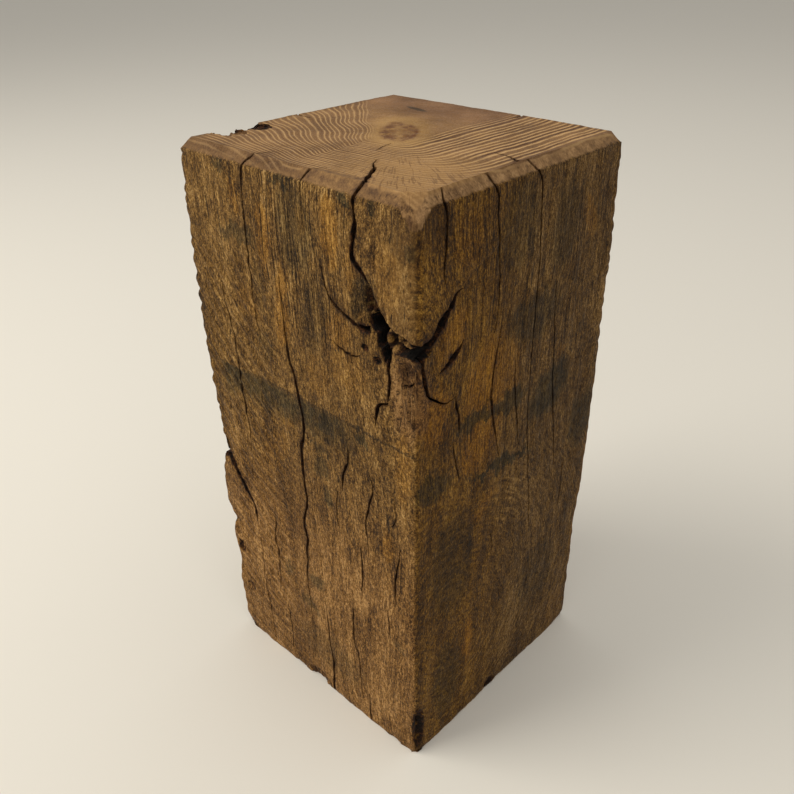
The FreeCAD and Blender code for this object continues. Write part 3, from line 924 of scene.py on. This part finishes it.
def side_colour(g, place, x, y, z):
    """Colour of the sawn sides, and the height of their grain for the bump."""
    grain = led_round_knot(g, place, z)

    def streaks(width, length, detail=2.0, rough=0.5):
        return g.pattern(grain, (1 / width, 1 / width, 1 / length), detail, rough)

    # which pair of faces each point is on, and whether it is on the front or the right one
    deep_x = g.sub(WIDE / 2, g.math("ABSOLUTE", x))
    deep_y = g.sub(DEEP / 2, g.math("ABSOLUTE", y))
    front_or_back = g.step(g.sub(deep_x, deep_y), -1.5, 1.5)
    right_or_left = g.sub(1.0, front_or_back)
    near_front = g.step(y, 5.0, -5.0)
    near_right = g.step(x, -5.0, 5.0)
    on_front = g.mul(front_or_back, near_front)
    on_right = g.mul(right_or_left, near_right)

    # saw marks in long arcs, over the left of the front and the lower right face
    across_front = g.add(x, WIDE / 2)
    across_right = g.add(y, DEEP / 2)
    front_out, front_turn = round_centre(g, across_front, z, FRONT_SAW, 180)
    right_out, right_turn = round_centre(g, across_right, z, RIGHT_SAW, 70)
    sawn_front = g.mul(g.step(x, 6.0, -30.0), g.step(z, 268.0, 236.0), front_or_back)
    sawn_right = g.mul(right_or_left, g.step(z, 165.0, 140.0, 0.0, 0.85))

    def arcs(out, turn, width, length):
        base = g.join(g.mul(out, 1 / width), g.mul(turn, 1 / length), 0.0)
        return g.noise(base, detail=3.0, rough=0.6)

    coarse = g.mix_value(sawn_front, streaks(1.3, 9.0, 3.0, 0.6), arcs(front_out, front_turn, 1.6, 16.0))
    coarse = g.mix_value(sawn_right, coarse, arcs(right_out, right_turn, 1.5, 12.0))
    # long streaks down the middle of the front's top, and on the upper right face
    long_zone = g.mul(g.step(x, 38.0, 28.0), g.step(z, 205.0, 250.0), g.step(x, -22.0, -12.0))
    long_zone = g.add(g.mul(on_front, long_zone), g.mul(on_right, g.step(z, 150.0, 230.0, 0.0, 0.6)))
    lines = streaks(0.9, 28.0, 3.0, 0.6)
    coarse = g.mix_value(long_zone, coarse, lines)

    broad = g.pattern(place, (0.032, 0.032, 0.020), detail=3.0, rough=0.6)
    bands = streaks(6.0, 50.0)
    blotches = g.pattern(place, (0.22, 0.22, 0.13), detail=3.0, rough=0.65)
    flecks = streaks(0.75, 2.0, 3.0, 0.75)
    grit = g.noise(g.scale(place, 1.5), rough=0.7)
    tone = g.blend((broad, 0.5), (bands, 0.5), (blotches, 0.3), (coarse, 0.85), (flecks, 1.5),
                   (grit, 0.8))
    tone = g.mul_add(g.mul(g.sub(lines, 0.5), long_zone), 0.9, tone)
    # the front is paler towards its foot, and a little darker in its middle
    tone = g.add(tone, g.mul(on_front, g.step(z, 185.0, 60.0), 0.085))
    middle = g.mul(g.step(z, 100.0, 130.0), g.step(z, 262.0, 232.0), on_front)
    tone = g.mul_add(middle, -0.03, tone)
    arc_front = g.waves(g.add(front_out, g.mul(blotches, 14.0)), FRONT_SAW_SPACING)
    arc_right = g.waves(g.add(right_out, g.mul(blotches, 12.0)), RIGHT_SAW_SPACING)
    saw = g.add(g.mul(sawn_front, 0.05, arc_front), g.mul(sawn_right, 0.07, arc_right))
    tone = g.add(tone, g.mul(saw, g.step(broad, 0.40, 0.60, 0.3, 1.0)))
    colour = g.ramp(tone, (0.10, 30, 17, 4), (0.34, 76, 51, 20), (0.5, 112, 81, 38),
                    (0.68, 144, 108, 56), (0.92, 196, 158, 98))

    # the tongue over the knot is worn smooth
    worn = g.mul(on_front, patches(g, across_front, z, [(142, 262, 20, 26, 0, 1.0)]))
    colour = g.mix(g.mul(worn, 0.5), colour, (106, 76, 38))

    # ragged places for the stains
    shake = g.pattern(place, (0.16, 0.16, 0.09), detail=5.0, rough=0.7, output=1)
    shake = g.vector("MULTIPLY", g.vector("SUBTRACT", shake, (0.5, 0.5, 0.5)), (11.0, 11.0, 26.0))
    sx, sy, sz = g.split(g.vector("ADD", place, shake))
    front_u = g.add(sx, WIDE / 2)
    right_u = g.add(sy, DEEP / 2)
    # the back and left faces carry the same kind of patches upside down
    over = g.sub(TALL, sz)
    front_v = g.mix_value(near_front, over, sz)
    right_v = g.mix_value(near_right, over, sz)

    # the lower part of the front is redder
    low_front = g.mul(on_front, g.step(z, 185.0, 90.0))
    colour = g.tint(low_front, colour, (255, 246, 250))

    gold = g.add(g.mul(front_or_back, patches(g, front_u, front_v, FRONT_GOLD)),
                 g.mul(right_or_left, patches(g, right_u, right_v, RIGHT_GOLD)))
    gold_ramp = g.ramp(tone, (0.12, 54, 30, 4), (0.5, 138, 94, 32), (0.88, 206, 154, 72))
    colour = g.mix(g.mul(gold, 0.8), colour, gold_ramp)

    fray = g.sub(g.noise(g.scale(place, 0.8), detail=3.0, rough=0.7), 0.5)
    band_top = g.add(z, g.mul(fray, 5.0))
    # a dark band across the middle of the front
    band = g.mul(g.step(band_top, 189.2, 187.2), g.step(sz, 166.0, 182.0))
    band = g.mul(band, g.mul(g.step(front_u, 6.0, 16.0), g.step(front_u, 114.0, 90.0)))
    band = g.mul(band, g.step(blotches, 0.40, 0.56, 0.75, 1.0))
    dark = g.larger(patches(g, front_u, front_v, FRONT_DARK), g.mul(band, near_front))
    dark_right = patches(g, right_u, right_v, RIGHT_DARK)
    dark = g.larger(g.mul(front_or_back, dark), g.mul(right_or_left, dark_right))
    dark_ramp = g.ramp(tone, (0.12, 14, 10, 4), (0.5, 56, 44, 22), (0.88, 104, 86, 50))
    colour = g.mix(g.mul(dark, 0.95), colour, dark_ramp)
    # the right face is darker, partly painted shade of the face turned from the key light and partly its
    # own darker stain, and greyer towards the back
    near_side = g.step(across_right, 80.0, 40.0)
    right_shade_and_stain = g.mix(near_side, (208, 206, 206), (216, 204, 150))
    colour = g.tint(on_right, colour, right_shade_and_stain)
    # a thin scored line above the stain
    scored = g.math("ABSOLUTE", g.sub(band_top, 189.0))
    scored = g.mul(on_front, g.step(front_u, 24.0, 40.0, 0.0, 0.7), g.step(scored, 1.0, 0.3))
    colour = g.mix(scored, colour, (40, 28, 12))

    # the torn fibres below the knot are redder
    torn_u = g.add(g.sub(x, WIDE / 2), g.add(y, DEEP / 2))
    torn = g.mul(near_front, near_right, patches(g, torn_u, sz, [(-3, 216, 13, 24, 0, 0.8)]))
    colour = g.mix(g.mul(torn, 0.7), colour, g.ramp(tone, (0.2, 34, 18, 8), (0.8, 142, 102, 66)))

    # dark pores and hairline checks along the grain
    pores = g.step(streaks(0.55, 2.6, 2.0, 0.6), 0.41, 0.33)
    colour = g.mix(g.mul(pores, 0.6), colour, (24, 14, 5))
    # painted glints: pale painted highlights along the grain, fainter on the darker right face
    painted_glints = g.step(g.pattern(grain, (1.3, 1.3, 0.5), rough=0.6), 0.62, 0.72)
    colour = g.mix(g.mul(painted_glints, g.sub(0.4, g.mul(on_right, 0.25))), colour, (190, 150, 92))
    hairs = g.step(streaks(1.25, 60.0, 2.0, 0.5), 0.315, 0.285)
    colour = g.mix(g.mul(hairs, 0.8), colour, (20, 11, 5))

    height = g.blend((flecks, 1.5), (blotches, 0.7))
    height = g.sub(height, g.add(g.mul(pores, 0.2), g.mul(hairs, 0.4)))
    return colour, height


def top_colour(g, place, x, y):
    """Colour of the end grain: rings that wrap a knot, and fine radial checks."""
    plain_u = g.add(x, WIDE / 2)
    plain_w = g.add(y, DEEP / 2)
    warp = g.pattern(place, (0.035, 0.035, 0.0), detail=0.6, rough=0.4, output=1)
    warp_u, warp_w, _ = g.split(g.vector("SUBTRACT", warp, (0.5, 0.5, 0.5)))
    on_left = g.step(plain_u, 95.0, 55.0)
    sway = g.mul_add(on_left, 6.0, 3.0)
    u = g.add(plain_u, g.mul(warp_u, sway))
    w = g.add(plain_w, g.mul(warp_w, sway))
    # slow waves in the rings on the left
    along = g.sub(g.mul(u, 0.69), g.mul(w, 0.72))
    ripple = g.mul(g.math("SINE", g.mul(along, 2 * math.pi / 38)), g.step(u, 78.0, 40.0, 0.0, 0.5))
    u = g.add(u, ripple)
    w = g.add(w, ripple)
    right_arm = g.larger(g.mul(g.sub(u, 78.0), 0.8), 0.0)
    below = g.larger(g.sub(50.0, w), 0.0)
    # on the left the rings fan out from below the knot to the left edge
    along_edge = g.smaller(g.mul(u, 1 / 80), 0.85)
    at_edge_w = g.math("DIVIDE", g.add(w, g.mul(along_edge, 8.3)), g.sub(1.0, g.mul(along_edge, 0.55)))
    left_arm = g.larger(g.mul(g.sub(122.0, at_edge_w), 0.72), 0.0)
    # how far out in the tree each point is: the three arms join in rounded corners
    total = 0.0
    for arm in (right_arm, left_arm, below):
        total = g.add(g.math("POWER", arm, RING_CORNER), total)
    spread = g.math("POWER", total, 1 / RING_CORNER)
    spread = g.add(spread, g.pattern(place, (0.13, 0.13, 0.0)))
    years = g.noise(g.join(g.mul(spread, 0.16), 0.0, 0.0), detail=0.0)
    ring = g.waves(g.add(spread, g.mul(years, 3.0)), RING_SPACING)
    faint = g.pattern(place, (0.07, 0.07, 0.0), detail=3.0, rough=0.6)
    corner = g.length(g.join(g.sub(plain_u, 118.0), g.sub(plain_w, 20.0), 0.0))
    near = g.step(corner, 46.0, 14.0)
    # the rings fade in the knot, in patches, near the front corner and at the front edge
    clear = g.mul(g.step(spread, 0.5, 7.0), g.step(faint, 0.32, 0.52, 0.45, 1.0),
                  g.mul_add(near, -0.5, 1.0), g.step(plain_w, 1.0, 8.0, 0.5, 1.0))
    # some years are stronger than others
    strong = g.step(years, 0.40, 0.60, 0.35, 1.15)
    line = g.mul(g.step(ring, 0.35, 1.0), clear)
    gap = g.mul(g.step(ring, 0.1, -0.9), clear, strong)

    grit = g.pattern(place, (1.3, 1.3, 1.3), detail=4.0, rough=0.7)
    broad = g.pattern(place, (0.035, 0.035, 0.0), detail=3.0)
    tone = g.blend((grit, 0.8), (broad, 0.7))
    colour = g.ramp(tone, (0.30, 92, 64, 37), (0.5, 132, 98, 61), (0.70, 164, 126, 83))
    colour = g.mix(g.mul(line, g.sub(0.8, g.mul(on_left, 0.25))), colour, (200, 162, 110))
    colour = g.mix(g.mul(gap, g.sub(0.85, g.mul(on_left, 0.52))), colour, (80, 52, 30))

    # the knot, its halo and the darker heart behind it
    knot_place = g.turned(g.join(g.sub(u, TOP_KNOT[0]), g.sub(w, TOP_KNOT[1]), 0.0), TOP_KNOT_TURN)
    knot_place = g.vector("DIVIDE", knot_place, TOP_KNOT_HALF)
    r = g.length(knot_place)
    halo = g.step(r, 2.3, 1.2, 0.0, 0.7)
    colour = g.mix(halo, colour, g.ramp(tone, (0.3, 132, 98, 52), (0.7, 180, 142, 88)))
    eye_lines = g.pattern(knot_place, (0.9, 1.3, 0.0), detail=4.0, rough=0.6)
    ragged_r = g.add(g.sub(eye_lines, 0.5), r)
    eye_rim = g.mul(g.step(ragged_r, 0.30, 0.80, 0.6, 1.0), g.step(ragged_r, 1.2, 0.85))
    eye_spots = g.noise(g.scale(place, 0.22), detail=4.0, rough=0.65)
    eye = g.mul(eye_rim, g.step(eye_spots, 0.60, 0.42, 0.3, 1.0))
    colour = g.mix(g.mul(eye, 0.9), colour, (94, 56, 33))
    heart = g.mul(g.step(w, 92.0, 120.0), g.step(u, 100.0, 78.0))
    heart_ramp = g.ramp(tone, (0.3, 88, 60, 40), (0.7, 146, 108, 78))
    colour = g.mix(g.mul(heart, 0.6), colour, heart_ramp)
    # the worn rim and a smudge are darker
    rim = g.smaller(g.smaller(plain_u, g.sub(WIDE, plain_u)), g.sub(DEEP, plain_w))
    colour = g.mix(g.step(rim, 9.0, 2.0, 0.0, 0.45), colour, (96, 70, 48))
    smudge = patches(g, plain_u, plain_w, [(39, 114, 9, 2.2, 12, 0.9)])
    colour = g.mix(smudge, colour, (66, 50, 32))

    # fine checks that spread from the knot across the rings towards the front corner
    away, turn = round_centre(g, plain_u, plain_w, TOP_KNOT, 60)
    spokes = g.noise(g.join(g.mul(turn, 0.95), g.mul(away, 0.07), 0.0), rough=0.6)
    nicks = g.mul(g.step(spokes, 0.46, 0.38), near)
    colour = g.mix(g.mul(near, 0.35), colour, (184, 144, 90))
    colour = g.mix(g.mul(nicks, 0.42), colour, (78, 48, 26))
    return colour, grit


def wood_material():
    """Old timber: stained, streaked sides, ringed end grain, a paler bevel, and checks, pits and chipped
    hollows darkened with painted shade.
    """
    material = bpy.data.materials.new("weathered_timber")
    material.use_nodes = True
    tree = material.node_tree
    tree.nodes.clear()
    g = Graph(tree)
    place = wood_coordinates(g)
    x, y, z = g.split(place)

    side, side_height = side_colour(g, place, x, y, z)
    top, top_height = top_colour(g, place, x, y)

    # how far each point lies below the nearest whole face
    deep = g.smaller(g.sub(WIDE / 2, g.math("ABSOLUTE", x)), g.sub(DEEP / 2, g.math("ABSOLUTE", y)))
    ragged = g.mul(g.sub(g.pattern(place, (0.35, 0.35, 0.0), detail=3.0), 0.5), 1.6)
    corner = g.add(g.sub(WIDE / 2, x), g.add(y, DEEP / 2))
    # at the front right corner the end grain hangs down in a torn apron
    torn_edge = g.sub(g.pattern(place, (0.8, 0.8, 0.0)), 0.5)
    dip = g.mul(g.step(corner, 9.0, 1.5), g.mul_add(torn_edge, 12.0, 7.0))
    on_end = g.step(g.add(g.add(z, ragged), dip), TALL - BEVEL + 0.2, TALL - BEVEL + 1.2)
    # the end grain's worn rim
    fibre = g.pattern(place, (1.5, 1.5, 0.12), detail=3.0, rough=0.6)
    mottle = g.pattern(place, (0.25, 0.25, 0.25), detail=4.0, rough=0.65)
    bevel_tone = g.blend((fibre, 0.5), (mottle, 0.9))
    bevel = g.ramp(bevel_tone, (0.28, 78, 52, 29), (0.5, 118, 87, 53),
                   (0.72, 152, 117, 75))
    beside_right = g.step(g.sub(g.add(y, DEEP / 2), g.sub(WIDE / 2, x)), -1.0, 3.0)
    paler_bevel = g.ramp(bevel_tone, (0.30, 98, 71, 43), (0.5, 136, 104, 68),
                         (0.70, 168, 133, 92))
    bevel = g.mix(beside_right, bevel, paler_bevel)
    fissures = g.step(g.pattern(place, (0.8, 0.8, 0.06)), 0.44, 0.36)
    bevel = g.mix(g.mul(fissures, g.step(corner, 40.0, 14.0, 0.15, 0.65)), bevel, (62, 40, 22))
    worn_wide = g.mul(g.step(x, 46.0, 38.0), g.step(y, -50.0, -58.0), g.step(x, 4.0, 20.0))
    worn_bevel = g.ramp(bevel_tone, (0.3, 96, 66, 38), (0.68, 158, 122, 78))
    bevel = g.mix(g.mul(worn_wide, 0.55), bevel, worn_bevel)
    # towards the front left the rings run on over the bevel, and near the main split it is worn wide
    on_front_left = g.mul(g.step(y, -54.0, -60.0), g.step(x, 16.0, 0.0))
    starts = g.mix_value(on_front_left, BEVEL_IN - 0.9, 1.4)
    starts = g.mul_add(worn_wide, 5.0, starts)
    far_in = g.sub(g.add(deep, g.mul(ragged, g.mul_add(worn_wide, 2.5, 1.0))), starts)
    on_top = g.step(far_in, -0.6, 0.6)
    top = g.tint(g.mul(on_front_left, g.step(deep, 9.0, 2.0, 0.0, 0.8)), top, (214, 212, 210))
    end = g.mix(on_top, bevel, top)
    # the base is end grain too
    on_end = g.larger(on_end, g.step(z, 0.5, 0.2))
    # fissures hang below the end grain at the front right corner
    hang = g.mul(g.step(corner, 20.0, 9.0), g.step(z, 268.0, 283.0))
    side = g.mix(g.mul(hang, g.mul_add(fissures, 0.55, 0.25)), side, (50, 33, 18))
    colour = g.mix(on_end, side, end)

    # painted shade: checks, pits and chipped hollows are painted dark brown to near black inside; the
    # rotted wood in the knot is red-brown, and the same dark ramp stands for both rot and painted shade
    dark = g.node("ShaderNodeAttribute", output=2, attribute_name="dark")
    rot = g.noise(g.scale(place, 0.5), detail=4.0, rough=0.75)
    rot_and_painted_shade = g.ramp(rot, (0.38, 10, 5, 2), (0.5, 36, 18, 8), (0.66, 96, 60, 32))
    # painted shade: a darker halo at the lips of the checks
    rim = g.step(dark, 0.05, 0.45, 0.0, 0.7)
    colour = g.tint(rim, colour, (116, 90, 70))
    colour = g.mix(g.step(dark, 0.30, 0.52), colour, rot_and_painted_shade)
    colour = g.mix(g.step(dark, 0.55, 0.82, 0.0, 0.95), colour, (8, 5, 3))

    height = g.mix_value(on_end, side_height, g.mul(top_height, 0.3))
    bump = g.node("ShaderNodeBump", {"Strength": 1.0, "Distance": BUMP_HEIGHT, "Height": height})
    shine = g.step(bevel_tone, 0.3, 0.7, 0.52, 0.72)
    shader = tree.nodes.new("ShaderNodeBsdfPrincipled")
    shader.inputs["Specular IOR Level"].default_value = 0.14
    tree.links.new(colour, shader.inputs["Base Color"])
    tree.links.new(shine, shader.inputs["Roughness"])
    tree.links.new(bump, shader.inputs["Normal"])
    output = tree.nodes.new("ShaderNodeOutputMaterial")
    tree.links.new(shader.outputs[0], output.inputs["Surface"])
    return material


# ---------------------------------------------------------------- studio

FLOOR_HALF = 14.0
CAMERA_PLACE = (0.2505, -0.2671, 0.3765)
CAMERA_AXES = ((0.72690, 0.68666, -0.01054), (-0.34311, 0.37643, 0.86057), (0.59488, -0.62193, 0.50923))
LENS = 36.63


def plain_material(name, colour, roughness):
    """A matt material for the floor."""
    material = bpy.data.materials.new(name)
    material.use_nodes = True
    shader = material.node_tree.nodes["Principled BSDF"]
    shader.inputs["Base Color"].default_value = colour
    shader.inputs["Roughness"].default_value = roughness
    shader.inputs["Specular IOR Level"].default_value = 0.2
    return material


def area_light(name, place, target, size, power, colour):
    """A soft square light that faces a point."""
    light = bpy.data.lights.new(name, "AREA")
    light.shape = "SQUARE"
    light.size = size
    light.energy = power
    light.color = colour
    lamp = bpy.data.objects.new(name, light)
    lamp.location = place
    lamp.rotation_euler = (Vector(target) - Vector(place)).to_track_quat("-Z", "Y").to_euler()
    bpy.context.scene.collection.objects.link(lamp)


def build_studio():
    """The floor, the lights and the camera."""
    corners = [(-1, -1), (1, -1), (1, 1), (-1, 1)]
    mesh = bpy.data.meshes.new("floor")
    mesh.from_pydata([(a * FLOOR_HALF, b * FLOOR_HALF, 0) for a, b in corners], [], [(0, 1, 2, 3)])
    floor = bpy.data.objects.new("floor", mesh)
    bpy.context.scene.collection.objects.link(floor)
    mesh.materials.append(plain_material("pale_floor", (0.80, 0.77, 0.70, 1), 0.9))

    world = bpy.data.worlds.new("soft_room")
    world.use_nodes = True
    world.node_tree.nodes["Background"].inputs["Color"].default_value = (1.0, 0.97, 0.92, 1)
    world.node_tree.nodes["Background"].inputs["Strength"].default_value = 0.45
    bpy.context.scene.world = world

    middle = (0, 0, 0.15)
    area_light("key", (-0.9, -1.1, 1.5), middle, 1.2, 23.0, (1.0, 0.95, 0.86))
    area_light("sky", (0.3, 0.2, 2.2), middle, 2.4, 12.0, (1.0, 0.97, 0.92))
    area_light("fill", (1.6, -0.9, 0.9), middle, 1.4, 3.0, (1.0, 0.95, 0.88))

    lens = bpy.data.cameras.new("camera")
    lens.sensor_width = 36.0
    lens.lens = LENS
    lens.clip_start = 0.01
    camera = bpy.data.objects.new("camera", lens)
    axes = Matrix(CAMERA_AXES).transposed().to_4x4()
    camera.matrix_world = Matrix.Translation(CAMERA_PLACE) @ axes
    bpy.context.scene.collection.objects.link(camera)
    bpy.context.scene.camera = camera


bpy.context.scene.view_settings.view_transform = "Standard"
build_studio()
block = build_block()
block.data.materials.append(wood_material())
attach(block, "root")
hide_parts(NODE)
